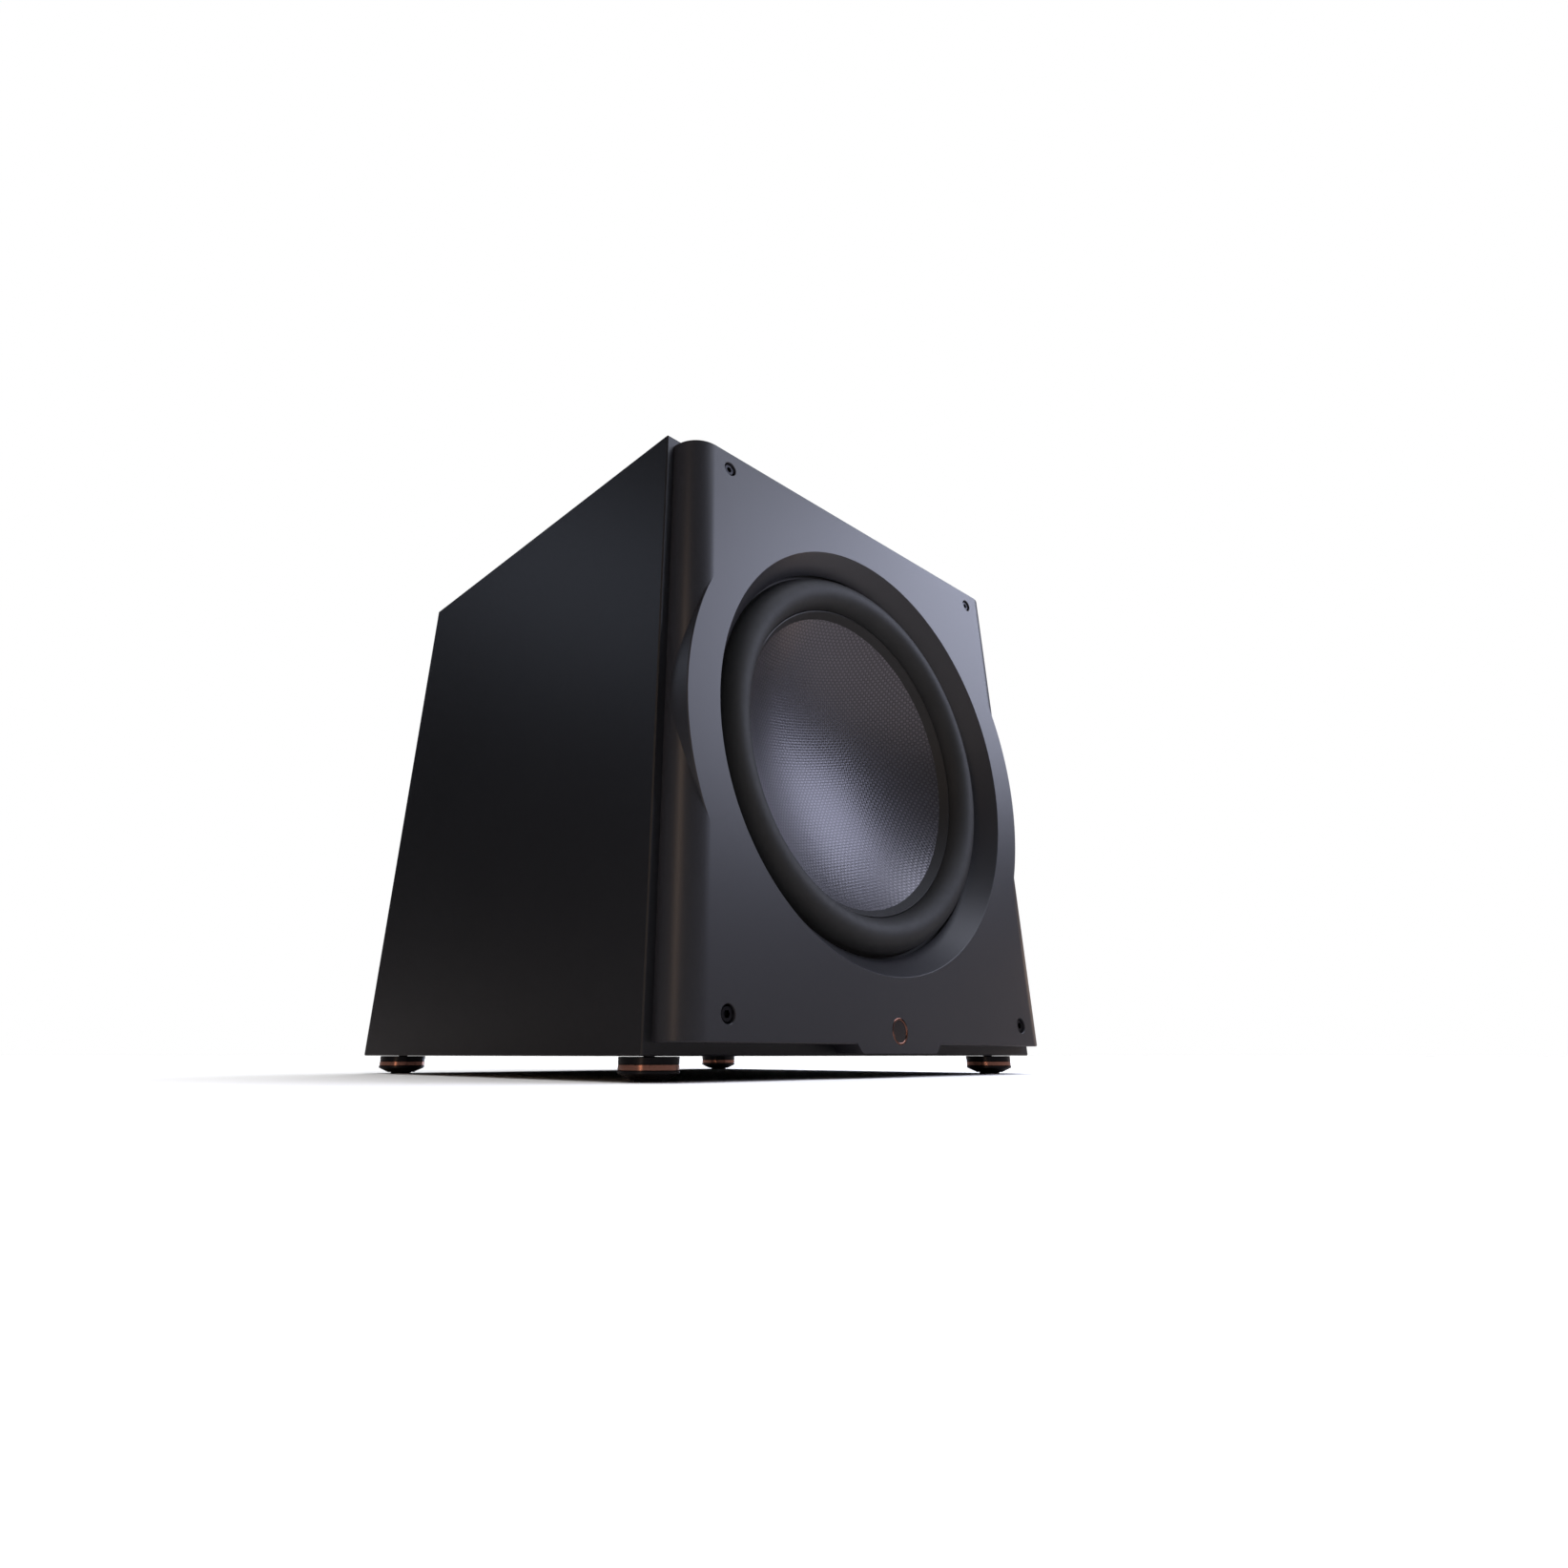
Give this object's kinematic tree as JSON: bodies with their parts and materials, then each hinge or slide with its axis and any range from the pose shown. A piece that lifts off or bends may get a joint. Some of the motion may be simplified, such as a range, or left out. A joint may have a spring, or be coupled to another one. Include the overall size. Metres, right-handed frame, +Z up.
{
  "type": "subwoofer",
  "caption": "Free-standing closed-box powered subwoofer with a large woven-fibre driver behind a thick front baffle, turned feet and a rear amplifier plate.",
  "frame": {"origin": "on the floor, at the middle of the overall box", "axes": "+Z up, the driver faces -Y, +X to the right seen from the front"},
  "size_m": [0.475, 0.491, 0.5147],
  "materials": {
    "cabinet_lacquer": "satin black lacquer over fibreboard",
    "bare_board": "raw fibreboard",
    "wadding": "loose polyester wadding",
    "baffle_lacquer": "silky black lacquer over fibreboard",
    "black_steel": "black oxide",
    "insert_brass": "machined",
    "copper_trim": "rose-gold plating, satin",
    "badge_face": "gloss black",
    "cast_alloy": "powder-coated casting",
    "gasket_foam": "closed-cell foam",
    "rubber": "matte black rubber",
    "ring_black": "satin black",
    "carbon_weave": "plain-weave carbon fibre, clear coat",
    "spider_cloth": "resin-dipped cloth",
    "coil_former": "glass-fibre tube",
    "copper_wire": "enamelled round wire",
    "plated_steel": "zinc plated",
    "ferrite": "sintered ferrite",
    "bare_aluminium": "machined",
    "socket_plastic": "moulded black",
    "cable_jacket": "soft jacket",
    "foot_black": "black anodised, satin",
    "amp_plate_black": "black powder coat",
    "circuit_board": "green solder mask",
    "contact_metal": "nickel plated",
    "rocker_plastic": "gloss black",
    "knob_black": "black anodised, fluted",
    "display_glass": "smoked window",
    "gold_shell": "gold plated",
    "socket_nickel": "nickel plated"
  },
  "bodies": {
    "cabinet": {"left_side_panel": "cabinet_lacquer", "right_side_panel": "cabinet_lacquer", "top_panel": "cabinet_lacquer", "bottom_panel": "cabinet_lacquer", "front_panel": "cabinet_lacquer", "rear_panel": "cabinet_lacquer", "window_brace": "bare_board", "damping_wadding": "wadding", "front_baffle": "baffle_lacquer", "baffle_screws": "black_steel", "driver_screws": "black_steel", "amp_screws": "black_steel", "baffle_inserts": "insert_brass", "foot_inserts": "insert_brass", "badge_rim": "copper_trim", "badge_disc": "badge_face", "driver_basket": "cast_alloy", "driver_gasket": "gasket_foam", "amp_gasket": "gasket_foam", "surround": "rubber", "spider": "spider_cloth", "top_plate": "plated_steel", "pole_yoke": "plated_steel", "magnet_rings": "ferrite", "shorting_ring": "bare_aluminium", "heat_spreader": "bare_aluminium", "board_standoffs": "bare_aluminium", "terminal_strip": "socket_plastic", "phono_insulators": "socket_plastic", "mains_inlet": "socket_plastic", "switch_housing": "socket_plastic", "encoder_body": "socket_plastic", "driver_cable": "cable_jacket", "amp_plate": "amp_plate_black", "amplifier_board": "circuit_board", "power_supply_board": "circuit_board", "inlet_pins": "contact_metal", "display_window": "display_glass", "phono_shells": "gold_shell", "trigger_socket": "socket_nickel"},
    "cone_assembly": {"cone": "carbon_weave", "cone_ring": "ring_black", "voice_coil_former": "coil_former", "voice_coil_winding": "copper_wire"},
    "power_rocker": {"power_rocker": "rocker_plastic"},
    "encoder_plunger": {"encoder_plunger": "socket_plastic"},
    "control_knob": {"encoder_shaft": "contact_metal", "control_knob": "knob_black"},
    "foot_front_left": {"foot_front_left": "foot_black", "foot_band_front_left": "copper_trim", "foot_pad_front_left": "rubber"},
    "foot_front_right": {"foot_front_right": "foot_black", "foot_band_front_right": "copper_trim", "foot_pad_front_right": "rubber"},
    "foot_rear_left": {"foot_rear_left": "foot_black", "foot_band_rear_left": "copper_trim", "foot_pad_rear_left": "rubber"},
    "foot_rear_right": {"foot_rear_right": "foot_black", "foot_band_rear_right": "copper_trim", "foot_pad_rear_right": "rubber"}
  },
  "joints": [
    {"name": "cone_travel", "type": "slide", "parent": "cabinet", "child": "cone_assembly", "axis": [0, -1, 0], "range_m": [-0.015, 0.015], "stiffness_N_per_m": 3000, "deforming": ["surround", "spider"]},
    {"name": "power_rocker_tilt", "type": "hinge", "parent": "cabinet", "child": "power_rocker", "pos_m": [-0.058, 0.2292, 0.1557], "axis": [1, 0, 0], "range_deg": [0, 16]},
    {"name": "knob_push", "type": "slide", "parent": "cabinet", "child": "encoder_plunger", "axis": [0, -1, 0], "range_m": [0, 0.0005], "stiffness_N_per_m": 1500, "springref_m": -0.001},
    {"name": "knob_turn", "type": "hinge", "parent": "encoder_plunger", "child": "control_knob", "pos_m": [-0.06, 0.2365, 0.3457], "axis": [0, 1, 0], "continuous": true},
    {"name": "foot_turn_front_left", "type": "hinge", "parent": "cabinet", "child": "foot_front_left", "pos_m": [-0.2095, -0.1915, 0.0157], "axis": [0, 0, 1], "range_deg": [-180, 180]},
    {"name": "foot_turn_front_right", "type": "hinge", "parent": "cabinet", "child": "foot_front_right", "pos_m": [0.2095, -0.1915, 0.0157], "axis": [0, 0, 1], "range_deg": [-180, 180]},
    {"name": "foot_turn_rear_left", "type": "hinge", "parent": "cabinet", "child": "foot_rear_left", "pos_m": [-0.2095, 0.2055, 0.0157], "axis": [0, 0, 1], "range_deg": [-180, 180]},
    {"name": "foot_turn_rear_right", "type": "hinge", "parent": "cabinet", "child": "foot_rear_right", "pos_m": [0.2095, 0.2055, 0.0157], "axis": [0, 0, 1], "range_deg": [-180, 180]}
  ]
}
